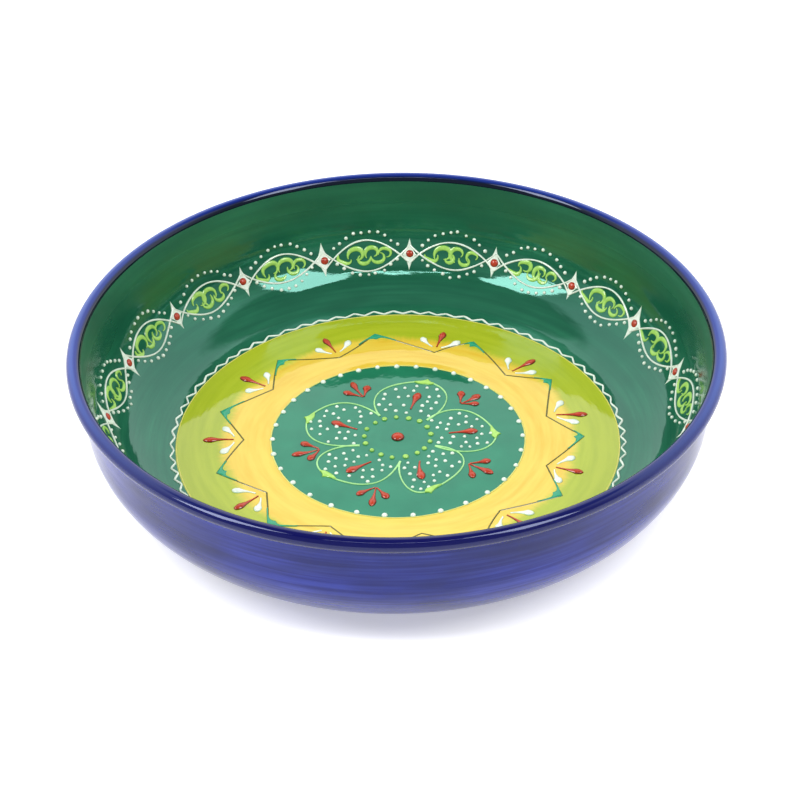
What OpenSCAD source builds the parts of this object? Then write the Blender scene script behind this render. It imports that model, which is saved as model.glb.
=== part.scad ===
// Deep round serving plate in glazed earthenware: a thrown clay body, its coats of
// coloured glaze, and the raised slip lines, drops and beads piped on its inside.

/* [Bowl] */
// Diameter over the rolled rim
rim_diameter = 300; // [260:5:340]
// Height from the table to the top of the rim
overall_height = 67.5; // [62:0.5:84]
// Thickness of the rolled rim
rim_roll_diameter = 6.6; // [6:0.2:8]
// Lean of the inside wall away from upright, in degrees
inside_wall_lean = 8; // [6:0.5:10]
// Lean of the outside wall away from upright, in degrees
outside_wall_lean = 6.7; // [4.5:0.1:8]
// Radius of the curve between the inside floor and wall
inside_curve_radius = 36; // [32:1:40]
// Radius of the curve between the underside and the outside wall
outside_curve_radius = 39; // [34:1:42]
// Height of the inside floor above the table
floor_height = 9.5; // [9:0.5:13]
// Height of the underside above the table
base_height = 3.9; // [3.1:0.1:3.9]

/* [Foot ring] */
// Distance from the end of the flat underside to the foot ring
foot_ring_inset = 9; // [4:1:20]
// Width of the foot ring's resting face
foot_ring_width = 8; // [5:1:12]

/* [Glaze and slip] */
// Thickness of every coat of glaze
glaze_thickness = 0.5; // [0.3:0.1:0.6]
// Height of the thin painted lines
painted_line_height = 0.3; // [0.2:0.1:0.5]
// Height of the piped slip lines
slip_line_height = 0.6; // [0.4:0.1:1]
// Height of the drops
drop_height = 0.9; // [0.5:0.1:1.4]
// Width of the piped slip lines
slip_line_width = 1.1; // [0.8:0.1:1.6]

/* [Centre flower] */
// Radius of the green medallion in the middle of the floor
medallion_radius = 59.7; // [54:0.1:64]
// Diameter of the red bead on the axis
centre_bead_diameter = 6.2; // [4:0.2:9]
// Number of beads in the ring around the centre bead
ring_bead_count = 17; // [12:1:20]
// Number of beads around the medallion's edge
edge_bead_count = 33; // [20:1:40]
// Radius from the axis to the petal tips
petal_tip_radius = 46.5; // [42:0.5:49]
// Number of beads laid out in each petal
petal_bead_count = 27; // [10:1:34]

/* [Star] */
// Number of points on the star line
star_points = 11; // [8:1:13]
// Radius to the star's points
star_tip_radius = 87.5; // [84:0.5:92]
// Radius to the star's inner corners
star_corner_radius = 72.5; // [68:0.5:76]
// Radius where the yellow band ends and the lime band begins
yellow_band_radius = 82; // [78:0.5:90]

/* [Zigzag] */
// Number of teeth on the zigzag line
zigzag_teeth = 72; // [40:1:84]
// Height of the zigzag's teeth along the surface
zigzag_swing = 2.4; // [1.4:0.2:3.2]

/* [Garland] */
// Number of almond frames around the wall
garland_count = 19; // [12:1:19]
// Distance from the axis to the garland, measured along the inside surface
garland_position = 141; // [138:0.5:146]
// Half of the height of an almond frame
almond_half_height = 7.5; // [6:0.5:9]
// Diameter of the red beads between the frames
garland_red_bead_diameter = 4.4; // [3:0.2:5]
// Diameter of the white beads around the frames
garland_bead_diameter = 1.9; // [1.2:0.1:2.4]
// Number of beads over each frame
upper_bead_count = 10; // [7:1:12]
// Number of beads under each frame
lower_bead_count = 9; // [7:1:12]

/* [Hidden] */
degrees = 180 / PI;
overlap = 0.03; // how far raised work is bedded into a curved glaze surface
round_faces = 180;
bead_faces = 32;
underside_turn = 266; // direction from the roll's centre to where the outside wall meets it

roll_radius = rim_roll_diameter / 2;
core_radius = roll_radius - glaze_thickness;
roll_centre = [rim_diameter / 2 - roll_radius, overall_height - roll_radius];

// Inside surface: flat floor, curve, then a leaning wall that runs tangent into the roll.
inside_up = [sin(inside_wall_lean), cos(inside_wall_lean)];
inside_out = [cos(inside_wall_lean), -sin(inside_wall_lean)];
inside_top = roll_centre - roll_radius * inside_out;
curve_centre_height = floor_height + inside_curve_radius;
inside_wall_length = (inside_top[1] + inside_curve_radius * sin(inside_wall_lean)
    - curve_centre_height) / cos(inside_wall_lean);
floor_radius = inside_top[0] - inside_wall_length * inside_up[0]
    - inside_curve_radius * inside_out[0];
inside_centre = [floor_radius, curve_centre_height];
curve_end = floor_radius + inside_curve_radius * (90 - inside_wall_lean) / degrees;

// Outside surface: flat underside, curve, then a leaning wall up to the roll's underside.
outside_up = [sin(outside_wall_lean), cos(outside_wall_lean)];
outside_out = [cos(outside_wall_lean), -sin(outside_wall_lean)];
outside_top = roll_centre + roll_radius * [cos(underside_turn), sin(underside_turn)];
outside_centre_height = base_height + outside_curve_radius;
outside_centre = [outside_top[0] - (outside_curve_radius
    + (outside_top[1] - outside_centre_height) * outside_up[0]) / outside_out[0],
    outside_centre_height];
under_glaze = outside_top - glaze_thickness * outside_out - roll_centre;
climb = under_glaze * outside_up;
clay_top = roll_centre + under_glaze
    - (climb + sqrt(climb * climb - under_glaze * under_glaze + core_radius * core_radius))
    * outside_up;

foot_outer_radius = outside_centre[0] - foot_ring_inset;
foot_inner_radius = foot_outer_radius - foot_ring_width;

// The pattern is drawn for a floor of this radius and grows or shrinks with it.
drawn_floor_radius = 104.4;
pattern_scale = floor_radius / drawn_floor_radius;
edge_line_width = 0.7;
band_line_radius = 103.7;
medallion_bead_radius = medallion_radius - 1.6;
medallion_bead_diameter = 2.5;
crowding = 0.15; // the edge beads stand closer together on one side of the medallion
ring_radius = 15.8;
ring_bead_diameter = 2.5;
petal_bead_diameter = 1.8;
petal_line_width = 0.9;
petal_tips = [72, 2, -71, 220, 159];
petal_foot = [16, 9]; // where a petal's side starts, out from the axis and off its middle line
petal_belly = [21, 19];
petal_shoulder = [39, 22];
petal_line_share = 0.97; // the sides stop just short of the tip, inside the blob
petal_tip_inset = 2;
petal_middle = 30;
petal_reach = [12.5, 14.5];
petal_drop_radius = 24;
// Half of the blob at a petal's tip: distance in from the tip, and distance off the middle line
petal_blob = [[-1, 0], [1.2, 1], [2.6, 2.4], [3.4, 2], [2.8, 0]];
sprig_turns = [116, 41, -33, 255, 193];
sprig_radius = 38.5;
sprig_spread = 38;
sprig_foot_gap = 1.2;

// Length and width of each kind of drop, and the shape they share.
petal_drop = [13.8, 4.2];
sprig_drop = [9.6, 3];
star_red_drop = [15, 3.7];
star_white_drop = [9.5, 4];
drop_belly = 0.72; // share of the length at which a drop is widest
drop_neck = 0.14; // width of the pointed end, as a share of the full width
drop_taper = 1.7;

small_bead_height = 0.8;
large_bead_height = 1.1;
red_bead_height = 1.5;
centre_bead_height = 1.8;

star_line_width = 0.5;
star_turn = 97;
star_pool = 5;
star_pool_gap = 0.4;
tulip_radius = 77.5;
tulip_spread = 40;
tulip_foot_gap = 1.8;

chain_radius = floor_radius + inside_curve_radius
    * sin((garland_position - floor_radius) / inside_curve_radius * degrees);
motif_length = 2 * PI * chain_radius / garland_count;
diamond_half = 5;
almond_half = motif_length / 2 - diamond_half;
trail_end_gap = 0.9;
trail_shoulder = 0.2; // share of a trail's width taken up by each of its sloping sides
trail_steps = 12;
garland_turn = 86.8;
// Upper half of a diamond, along and up the wall: its outer edge, then its inner edge
diamond_outer = [[-4.5, 0.9], [-2.2, 3.2], [-1, 5.6], [0, 8.5], [1, 5.6], [2.2, 3.2],
    [4.5, 0.9]];
diamond_inner = [[-3.7, 0.2], [-1.9, 1.9], [-0.9, 2.9], [0, 3.9], [0.9, 2.9], [1.9, 1.9],
    [3.7, 0.2]];
// Each curl of a scroll: centre, radius, starting angle, sweep and width
scroll_curls = [[[-8, 0.2], 2.7, 70, 250, 1.8], [[0, -0.2], 3.4, 250, -270, 2.1],
    [[8, 0.2], 2.5, 120, -250, 1.6]];
curl_steps = 9;
// Beads around a frame: height of the row's ends off the garland's middle, and its arch
upper_arch = [4, 8.7];
lower_arch = [2.8, 8.4];
bead_row_share = 0.94;
bead_row_bend = 80;
zigzag_position = 106.6;
golden_turn = 137.508;

// ---- The inside surface, by distance along it from the axis ----
function turn_at(s) = s < floor_radius ? 0
    : min((s - floor_radius) / inside_curve_radius * degrees, 90 - inside_wall_lean);
function radius_at(s) = min(s, floor_radius) + inside_curve_radius * sin(turn_at(s))
    + max(s - curve_end, 0) * inside_up[0];
function height_at(s) = floor_height + inside_curve_radius * (1 - cos(turn_at(s)))
    + max(s - curve_end, 0) * inside_up[1];
function on_inside(s, turn, lift) = let (
        slope = turn_at(s),
        radius = radius_at(s) - lift * sin(slope)
    ) [radius * cos(turn), radius * sin(turn), height_at(s) + lift * cos(slope)];

// ---- Sections of the thrown body and its coats ----
module curve_part(centre, radius, lean) {
    flat_end = centre - [0, radius];
    wall_end = centre + radius * [cos(lean), -sin(lean)];
    corner = flat_end + [radius * tan((90 - lean) / 2), 0];
    intersection() {
        translate(centre) circle(radius, $fn = round_faces);
        polygon([centre, flat_end, corner, wall_end]);
    }
}

module cavity_section() {
    radius = inside_curve_radius + glaze_thickness;
    clay_floor = floor_height - glaze_thickness;
    low = inside_centre + radius * inside_out;
    high = inside_top + glaze_thickness * inside_out;
    polygon([[0, clay_floor], [floor_radius, clay_floor], inside_centre, low, high,
        [0, overall_height + high[1]]]);
    curve_part(inside_centre, radius, inside_wall_lean);
}

module outside_section() {
    radius = outside_curve_radius - glaze_thickness;
    clay_base = base_height + glaze_thickness;
    low = outside_centre + radius * outside_out;
    rim_edge = inside_top + glaze_thickness * inside_out;
    polygon([[0, clay_base], [outside_centre[0], clay_base], outside_centre, low, clay_top,
        roll_centre, rim_edge, [0, rim_edge[1]]]);
    curve_part(outside_centre, radius, outside_wall_lean);
}

module clay_section() {
    difference() {
        union() {
            outside_section();
            translate(roll_centre) circle(core_radius, $fn = round_faces);
            translate([foot_inner_radius, 0])
                square([foot_ring_width, base_height + 2 * glaze_thickness]);
        }
        cavity_section();
    }
}

module curved_coat(centre, radius, lean) {
    difference() {
        curve_part(centre, radius, lean);
        translate(centre) circle(radius - glaze_thickness, $fn = round_faces);
    }
}

module revolve() {
    rotate_extrude($fn = round_faces) children();
}

module floor_coat(from, to) {
    revolve() translate([from, floor_height - glaze_thickness])
        square([to - from, glaze_thickness]);
}

module floor_ring(radius, width, height) {
    revolve() translate([radius, floor_height]) square([width, height]);
}

// ---- Raised work on the flat floor ----
module bead(diameter, height) {
    half = diameter / 2;
    sphere_radius = (half * half + height * height) / (2 * height);
    rotate_extrude($fn = bead_faces) intersection() {
        translate([0, height - sphere_radius]) circle(sphere_radius, $fn = 4 * bead_faces);
        square([half, height]);
    }
}

module floor_bead(radius, turn, diameter, height) {
    translate([radius * cos(turn), radius * sin(turn), floor_height])
        bead(diameter, height);
}

function drop_half_width(t, width) = t > drop_belly
    ? width / 2 * sqrt(max(0, 1 - pow((t - drop_belly) / (1 - drop_belly), 2)))
    : width / 2 * (drop_neck + (1 - drop_neck) * pow(t / drop_belly, drop_taper));
function drop_outline(size, steps = 14) = concat(
    [for (i = [0:steps]) [size[0] * i / steps, drop_half_width(i / steps, size[1])]],
    [for (i = [steps - 1:-1:0]) [size[0] * i / steps, -drop_half_width(i / steps, size[1])]]);

// A drop's pointed end is at the foot; the drop leans away from its direction out of the axis.
module drop(turn, foot, lean, size) {
    rotate(turn) translate([foot[0] * pattern_scale, foot[1] * pattern_scale, floor_height])
        rotate(lean) linear_extrude(drop_height) polygon(drop_outline(size * pattern_scale));
}

// A petal side is one curve from the petal's foot to its tip.
function bezier(a, b, c, d, t) = pow(1 - t, 3) * a + 3 * t * pow(1 - t, 2) * b
    + 3 * t * t * (1 - t) * c + pow(t, 3) * d;
function bezier_way(a, b, c, d, t) = pow(1 - t, 2) * (b - a) + 2 * t * (1 - t) * (c - b)
    + t * t * (d - c);
function side_point(shift, t) = let (
        tip = [petal_tip_radius - petal_tip_inset, 0],
        way = bezier_way(petal_foot, petal_belly, petal_shoulder, tip, t),
        across = [-way[1], way[0]] / norm(way)
    ) bezier(petal_foot, petal_belly, petal_shoulder, tip, t) + shift * across;

module petal_side() {
    steps = 20;
    half = petal_line_width / 2;
    scale(pattern_scale) polygon(concat(
        [for (i = [0:steps]) side_point(half, petal_line_share * i / steps)],
        [for (i = [steps:-1:0]) side_point(-half, petal_line_share * i / steps)]));
}

module petal_tip_blob() {
    last = len(petal_blob) - 1;
    scale(pattern_scale) translate([petal_tip_radius, 0]) polygon(concat(
        [for (spot = petal_blob) [-spot[0], spot[1]]],
        [for (i = [last - 1:-1:1]) -petal_blob[i]]));
}

function star_outline(grow) = [for (i = [0:2 * star_points - 1]) let (
        turn = star_turn + i * 180 / star_points,
        radius = (i % 2 == 0 ? star_tip_radius : star_corner_radius) + grow
    ) pattern_scale * radius * [cos(turn), sin(turn)]];

// ---- Raised work on the curved wall, set out along and up the wall from a motif's middle ----
function on_wall(turn, place, lift) =
    on_inside(garland_position + place[1], turn - place[0] / chain_radius * degrees, lift);

function rail_points(turn, left, right, height) = [for (i = [0:len(left) - 1]) each [
    on_wall(turn, left[i], -overlap),
    on_wall(turn, left[i] * (1 - trail_shoulder) + right[i] * trail_shoulder, height),
    on_wall(turn, left[i] * trail_shoulder + right[i] * (1 - trail_shoulder), height),
    on_wall(turn, right[i], -overlap)]];
function rail_faces(stations) = concat(
    [for (i = [0:stations - 2]) for (j = [0:3]) let (k = (j + 1) % 4) each [
        [4 * i + j, 4 * i + 4 + j, 4 * i + 4 + k],
        [4 * i + j, 4 * i + 4 + k, 4 * i + k]]],
    [[0, 1, 2], [0, 2, 3]],
    let (e = 4 * (stations - 1)) [[e + 2, e + 1, e], [e + 3, e + 2, e]]);

module wall_trail(turn, left, right) {
    polyhedron(rail_points(turn, left, right, slip_line_height), rail_faces(len(left)));
}

function almond_path(side) = [for (i = [0:trail_steps]) let (
        reach = almond_half - trail_end_gap,
        along = -reach + 2 * reach * i / trail_steps
    ) [along, side * almond_half_height * cos(90 * along / almond_half)]];
function shifted(path, amount) = let (last = len(path) - 1) [for (i = [0:last]) let (
        way = path[min(i + 1, last)] - path[max(i - 1, 0)],
        across = [-way[1], way[0]] / norm(way)
    ) path[i] + amount[i] * across];

// A curl is an arc, full in the middle and fine at both ends.
function curl_path(centre, radius, from, sweep) = [for (i = [0:curl_steps]) let (
        angle = from + sweep * i / curl_steps
    ) centre + radius * [cos(angle), sin(angle)]];
function curl_swell(width) = [for (i = [0:curl_steps])
    width * (0.3 + 0.7 * pow(sin(180 * (0.08 + 0.84 * i / curl_steps)), 1.2)) / 2];

module curl(turn, centre, radius, from, sweep, width) {
    path = curl_path(centre, radius, from, sweep);
    swell = curl_swell(width);
    wall_trail(turn, shifted(path, swell), shifted(path, -swell));
}

module wall_bead(turn, place, diameter, height) {
    spot_turn = turn - place[0] / chain_radius * degrees;
    spot = garland_position + place[1];
    translate(on_inside(spot, spot_turn, 0)) rotate([0, -turn_at(spot), spot_turn])
        bead(diameter, height);
}

function motif_turn(i) = garland_turn + i * 360 / garland_count;
function bead_place(i, count, arch, side) = let (
        along = almond_half * bead_row_share * (2 * i / (count - 1) - 1)
    ) [along, side * (arch[0] + arch[1] * cos(bead_row_bend * along / almond_half))];

// ---- Nodes ----
module clay_body() {
    color("#C9A27C") revolve() clay_section();
}

module outer_glaze() {
    low = outside_centre + outside_curve_radius * outside_out;
    thickness = glaze_thickness * outside_out;
    color("#3D4A8E") revolve() {
        translate([foot_outer_radius, base_height])
            square([outside_centre[0] - foot_outer_radius, glaze_thickness]);
        curved_coat(outside_centre, outside_curve_radius, outside_wall_lean);
        polygon([low, outside_top, clay_top, low - thickness]);
    }
}

module base_glaze() {
    color("#C8CCE4") revolve() translate([0, base_height])
        square([foot_inner_radius, glaze_thickness]);
}

module rim_glaze() {
    reach = 3 * roll_radius;
    mitre = outside_top + 4 * (outside_top - clay_top);
    color("#2B3BA0") revolve() difference() {
        translate(roll_centre) circle(roll_radius, $fn = round_faces);
        translate(roll_centre) circle(core_radius, $fn = round_faces);
        polygon([roll_centre, roll_centre - reach * inside_out,
            roll_centre - reach * (inside_out + inside_up), mitre, clay_top]);
    }
}

module wall_glaze() {
    low = inside_centre + inside_curve_radius * inside_out;
    thickness = glaze_thickness * inside_out;
    color("#22603E") revolve() {
        difference() {
            curve_part(inside_centre, inside_curve_radius + glaze_thickness, inside_wall_lean);
            translate(inside_centre) circle(inside_curve_radius, $fn = round_faces);
        }
        polygon([low, inside_top, inside_top + thickness, low + thickness]);
    }
}

module lime_band_glaze() {
    color("#B4C83C") floor_coat(yellow_band_radius * pattern_scale, floor_radius);
}

module yellow_band_glaze() {
    color("#FFD840") floor_coat(medallion_radius * pattern_scale,
        yellow_band_radius * pattern_scale);
}

module medallion_glaze() {
    color("#2C7A5A") floor_coat(0, medallion_radius * pattern_scale);
}

module band_edge_line() {
    color("#F0F4C8") floor_ring(band_line_radius * pattern_scale,
        edge_line_width * pattern_scale, painted_line_height);
}

module medallion_edge_line() {
    color("#F4F0A0") floor_ring(medallion_radius * pattern_scale,
        edge_line_width * pattern_scale, painted_line_height);
}

module zigzag_trail() {
    steps = 4 * zigzag_teeth;
    half = slip_line_width / 2;
    crest = half * (1 - 2 * trail_shoulder);
    points = [for (i = [0:steps - 1]) let (
            middle = zigzag_position * pattern_scale
                + zigzag_swing / 2 * (abs((i % 4) - 2) - 1),
            turn = -i * 360 / steps
        ) each [
            on_inside(middle + half, turn, -overlap),
            on_inside(middle + crest, turn, slip_line_height),
            on_inside(middle - crest, turn, slip_line_height),
            on_inside(middle - half, turn, -overlap)]];
    faces = [for (i = [0:steps - 1]) for (j = [0:3]) let (
            next = (i + 1) % steps,
            k = (j + 1) % 4
        ) each [
            [4 * i + j, 4 * next + j, 4 * next + k],
            [4 * i + j, 4 * next + k, 4 * i + k]]];
    color("#EEF6DC") polyhedron(points, faces);
}

module star_line() {
    half = star_line_width / 2;
    color("#6B6A2A") translate([0, 0, floor_height]) linear_extrude(painted_line_height)
        difference() {
            polygon(star_outline(half));
            polygon(star_outline(-half));
        }
}

module star_tip_pools() {
    top = star_tip_radius - star_line_width - star_pool_gap;
    color("#2F9C78") for (i = [0:star_points - 1])
        rotate(star_turn + i * 360 / star_points) translate([0, 0, floor_height])
            linear_extrude(painted_line_height) scale(pattern_scale)
                polygon([[top, 0], [top - 0.45 * star_pool, 0.4 * star_pool],
                    [top - star_pool, 0], [top - 0.45 * star_pool, -0.4 * star_pool]]);
}

module star_red_drops() {
    color("#C8503C") for (i = [0:star_points - 1])
        drop(star_turn + (i + 0.5) * 360 / star_points, [tulip_radius, 0], 0, star_red_drop);
}

module star_white_drops() {
    color("#F6F6EC") for (i = [0:star_points - 1]) for (side = [-1, 1])
        drop(star_turn + (i + 0.5) * 360 / star_points,
            [tulip_radius, side * tulip_foot_gap], side * tulip_spread, star_white_drop);
}

module medallion_edge_beads() {
    color("#F6F6EC") for (i = [0:edge_bead_count - 1]) {
        step = i * 360 / edge_bead_count;
        floor_bead(medallion_bead_radius * pattern_scale,
            90 + step - crowding * sin(step) * degrees, medallion_bead_diameter,
            large_bead_height);
    }
}

module centre_bead() {
    color("#D2492F") floor_bead(0, 0, centre_bead_diameter, centre_bead_height);
}

module centre_ring_beads() {
    color("#A9DC50") for (i = [0:ring_bead_count - 1])
        floor_bead(ring_radius * pattern_scale, i * 360 / ring_bead_count,
            ring_bead_diameter, large_bead_height);
}

module petal_outlines() {
    color("#B8E69A") for (tip = petal_tips) for (side = [0, 1])
        rotate(tip) mirror([0, side]) translate([0, 0, floor_height])
            linear_extrude(slip_line_height) petal_side();
}

module petal_tip_blobs() {
    color("#A9DC50") for (tip = petal_tips) rotate(tip) translate([0, 0, floor_height])
        linear_extrude(slip_line_height) petal_tip_blob();
}

module petal_beads() {
    color("#F6F6EC") for (tip = petal_tips) for (i = [0:petal_bead_count - 1]) {
        spread = sqrt((i + 0.5) / petal_bead_count);
        place = [petal_middle + petal_reach[0] * spread * cos(i * golden_turn),
            petal_reach[1] * spread * sin(i * golden_turn)];
        if (abs(place[1]) > petal_drop[1] / 2 + petal_bead_diameter / 2)
            rotate(tip) floor_bead(norm(place) * pattern_scale,
                atan2(place[1], place[0]), petal_bead_diameter, small_bead_height);
    }
}

module petal_red_drops() {
    color("#C8503C") for (tip = petal_tips)
        drop(tip, [petal_drop_radius, 0], 0, petal_drop);
}

module sprig_red_drops() {
    color("#C8503C") for (turn = sprig_turns) for (side = [-1:1])
        drop(turn, [sprig_radius, side * sprig_foot_gap], side * sprig_spread, sprig_drop);
}

module garland_frames() {
    half = [for (i = [0:trail_steps]) slip_line_width / 2];
    color("#EEF6DC") for (i = [0:garland_count - 1]) for (side = [-1, 1]) {
        turn = motif_turn(i + 0.5);
        wall_trail(turn, shifted(almond_path(side), half), shifted(almond_path(side), -half));
    }
}

module garland_diamonds() {
    flip = [[1, 0], [0, -1]];
    color("#F6F6EC") for (i = [0:garland_count - 1]) {
        wall_trail(motif_turn(i), diamond_outer, diamond_inner);
        wall_trail(motif_turn(i), diamond_inner * flip, diamond_outer * flip);
    }
}

module garland_scrolls() {
    color("#A8D64A") for (i = [0:garland_count - 1]) for (shape = scroll_curls)
        curl(motif_turn(i + 0.5), shape[0], shape[1], shape[2], shape[3], shape[4]);
}

module garland_red_beads() {
    color("#D2492F") for (i = [0:garland_count - 1])
        wall_bead(motif_turn(i), [0, 0], garland_red_bead_diameter, red_bead_height);
}

module garland_upper_beads() {
    color("#F6F6EC") for (i = [0:garland_count - 1]) for (j = [0:upper_bead_count - 1])
        wall_bead(motif_turn(i + 0.5), bead_place(j, upper_bead_count, upper_arch, 1),
            garland_bead_diameter, small_bead_height);
}

module garland_lower_beads() {
    color("#F6F6EC") for (i = [0:garland_count - 1]) for (j = [0:lower_bead_count - 1])
        wall_bead(motif_turn(i + 0.5), bead_place(j, lower_bead_count, lower_arch, -1),
            garland_bead_diameter, small_bead_height);
}

clay_body();
outer_glaze();
base_glaze();
rim_glaze();
wall_glaze();
lime_band_glaze();
yellow_band_glaze();
medallion_glaze();
band_edge_line();
medallion_edge_line();
zigzag_trail();
star_line();
star_tip_pools();
star_red_drops();
star_white_drops();
medallion_edge_beads();
centre_bead();
centre_ring_beads();
petal_outlines();
petal_tip_blobs();
petal_beads();
petal_red_drops();
sprig_red_drops();
garland_frames();
garland_diamonds();
garland_scrolls();
garland_red_beads();
garland_upper_beads();
garland_lower_beads();
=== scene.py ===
# %% [markdown]
# # A hand painted serving plate
# The real object is one fired piece: a deep round plate thrown in red or buff
# earthenware, dipped and brushed with coloured glazes, then decorated with raised
# slip piped from a nozzle. Everything below follows that order of work. The solid
# model is loaded first and fixes every size.

# %% Load the frame
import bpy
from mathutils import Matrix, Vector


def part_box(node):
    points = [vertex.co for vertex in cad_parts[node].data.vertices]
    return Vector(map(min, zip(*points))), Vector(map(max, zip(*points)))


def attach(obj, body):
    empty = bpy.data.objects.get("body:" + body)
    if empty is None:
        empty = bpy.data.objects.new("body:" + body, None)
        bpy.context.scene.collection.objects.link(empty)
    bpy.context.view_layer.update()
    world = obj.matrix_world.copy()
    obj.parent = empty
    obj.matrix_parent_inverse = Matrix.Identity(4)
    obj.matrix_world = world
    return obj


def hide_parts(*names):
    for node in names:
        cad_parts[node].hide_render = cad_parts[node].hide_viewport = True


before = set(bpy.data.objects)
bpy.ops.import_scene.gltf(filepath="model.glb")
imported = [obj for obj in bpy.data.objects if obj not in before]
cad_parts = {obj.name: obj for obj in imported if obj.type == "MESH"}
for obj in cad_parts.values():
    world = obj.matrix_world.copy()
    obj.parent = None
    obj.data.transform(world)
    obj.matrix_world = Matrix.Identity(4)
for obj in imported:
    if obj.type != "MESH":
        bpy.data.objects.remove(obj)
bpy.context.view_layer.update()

import bpy
import numpy as np
from math import radians
from mathutils import Matrix, Vector

MM = 0.001

# %% [markdown]
# ## The bowl's own outline
# A thrower judges a plate by its section: a flat floor, a round corner, a wall that
# leans a few degrees and a rolled rim. The same section places every painted line, so
# it is written once, as a function of the distance walked along the inside surface
# from the middle of the floor.

# %% Sizes of the section, in millimetres
rim_high = np.array(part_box("rim_glaze")[1]) / MM
floor_high = np.array(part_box("medallion_glaze")[1]) / MM
base_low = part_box("base_glaze")[0][2] / MM
roll = 3.3
coat = 0.5
skin_gap = 0.02
rim_radius = rim_high[0] - skin_gap
rim_top = rim_high[2] - skin_gap
floor_height = floor_high[2]
inside_lean, outside_lean = radians(8.0), radians(6.7)
inside_bend, outside_bend = 36.0, 39.0
roll_centre = np.array([rim_radius - roll, rim_top - roll])
up_wall = np.array([np.sin(inside_lean), np.cos(inside_lean)])
off_wall = np.array([np.cos(inside_lean), -np.sin(inside_lean)])
wall_top = roll_centre - roll * off_wall
bend_height = floor_height + inside_bend
wall_length = (wall_top[1] + inside_bend * np.sin(inside_lean) - bend_height) / np.cos(inside_lean)
floor_radius = wall_top[0] - wall_length * up_wall[0] - inside_bend * off_wall[0]
bend_end = floor_radius + inside_bend * (np.pi / 2 - inside_lean)
wall_end = bend_end + wall_length
print("flat floor radius", round(floor_radius, 2), "rim edge at", round(wall_end, 2))


# %% Walk along the inside surface
dip_middle, dip_inward, dip_outward, dip_depth = 63.0, 12.0, 7.0, 0.6


def floor_dip(s):
    """A valley 0.6 mm deep round the medallion's edge, left by the thrower's
    finger: a bell curve, wider on the inner side, with its slope."""
    width = np.where(s < dip_middle, dip_inward, dip_outward)
    off = (s - dip_middle) / width
    dip = -dip_depth * np.exp(-off ** 2)
    return dip, -2 * off / width * dip


def meridian(s):
    """Slope, radius and height after walking s along the inside: flat but for the dip,
    then a circular bend that turns by s over its radius, then the straight wall."""
    slope = np.clip((s - floor_radius) / inside_bend, 0, np.pi / 2 - inside_lean)
    past = np.maximum(s - bend_end, 0)
    dip, tilt = floor_dip(s)
    radius = np.minimum(s, floor_radius) + inside_bend * np.sin(slope) + past * up_wall[0]
    height = floor_height + dip + inside_bend * (1 - np.cos(slope)) + past * up_wall[1]
    return slope + tilt, radius, height


def on_inside(s, turn, lift):
    """Point at distance s from the middle and angle turn, raised by lift along the
    surface's normal, which leans back towards the axis by the slope."""
    slope, radius, height = meridian(s)
    radius = radius - lift * np.sin(slope)
    return np.stack(np.broadcast_arrays(radius * np.cos(turn), radius * np.sin(turn),
                                        height + lift * np.cos(slope)), axis=-1)


def on_plan(spot, lift):
    """Flat drawing to surface: the drawing's distance from its middle is walked along
    the inside, so a pattern drawn on paper wraps on to the floor and up the bend."""
    return on_inside(np.hypot(spot[..., 0], spot[..., 1]),
                     np.arctan2(spot[..., 1], spot[..., 0]), lift)


# %% [markdown]
# ## Turning points into pieces
# Every piece is a grid of points, rings of points set one after another, so one
# routine can join them with quads, close the ends with a fan and make sure the faces
# look outwards. A float attribute called rise says how high a point stands in its
# slip, from 0 at the foot to 1 at the crest, for the finishes to read.

# %% Join rings of points
def skin(rings, along=False, start=False, end=False):
    """Quads between neighbouring rings of a (pieces, rings, points, xyz) grid; each
    ring closes on itself, along joins last ring to first, start and end add a fan
    to the mean of the first or last ring."""
    pieces, count, around, _ = rings.shape
    index = np.arange(pieces * count * around).reshape(pieces, count, around)
    beside = np.roll(index, -1, axis=2)
    ahead, ahead_beside = np.roll(index, -1, axis=1), np.roll(beside, -1, axis=1)
    last = count if along else count - 1
    quads = np.stack([index, beside, ahead_beside, ahead], -1)[:, :last].reshape(-1, 4)
    points, fans = [rings.reshape(-1, 3)], []
    for wanted, ring, flip in ((start, 0, 1), (end, count - 1, -1)):
        if wanted:
            hub = sum(map(len, points)) + np.arange(pieces)
            points.append(rings[:, ring].mean(axis=1))
            fan = np.stack([np.broadcast_to(hub[:, None], (pieces, around)),
                            beside[:, ring], index[:, ring]], -1)
            fans.append(fan.reshape(-1, 3)[:, ::flip])
    tris = np.concatenate(fans) if fans else np.zeros((0, 3), int)
    return np.concatenate(points), quads, tris


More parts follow.
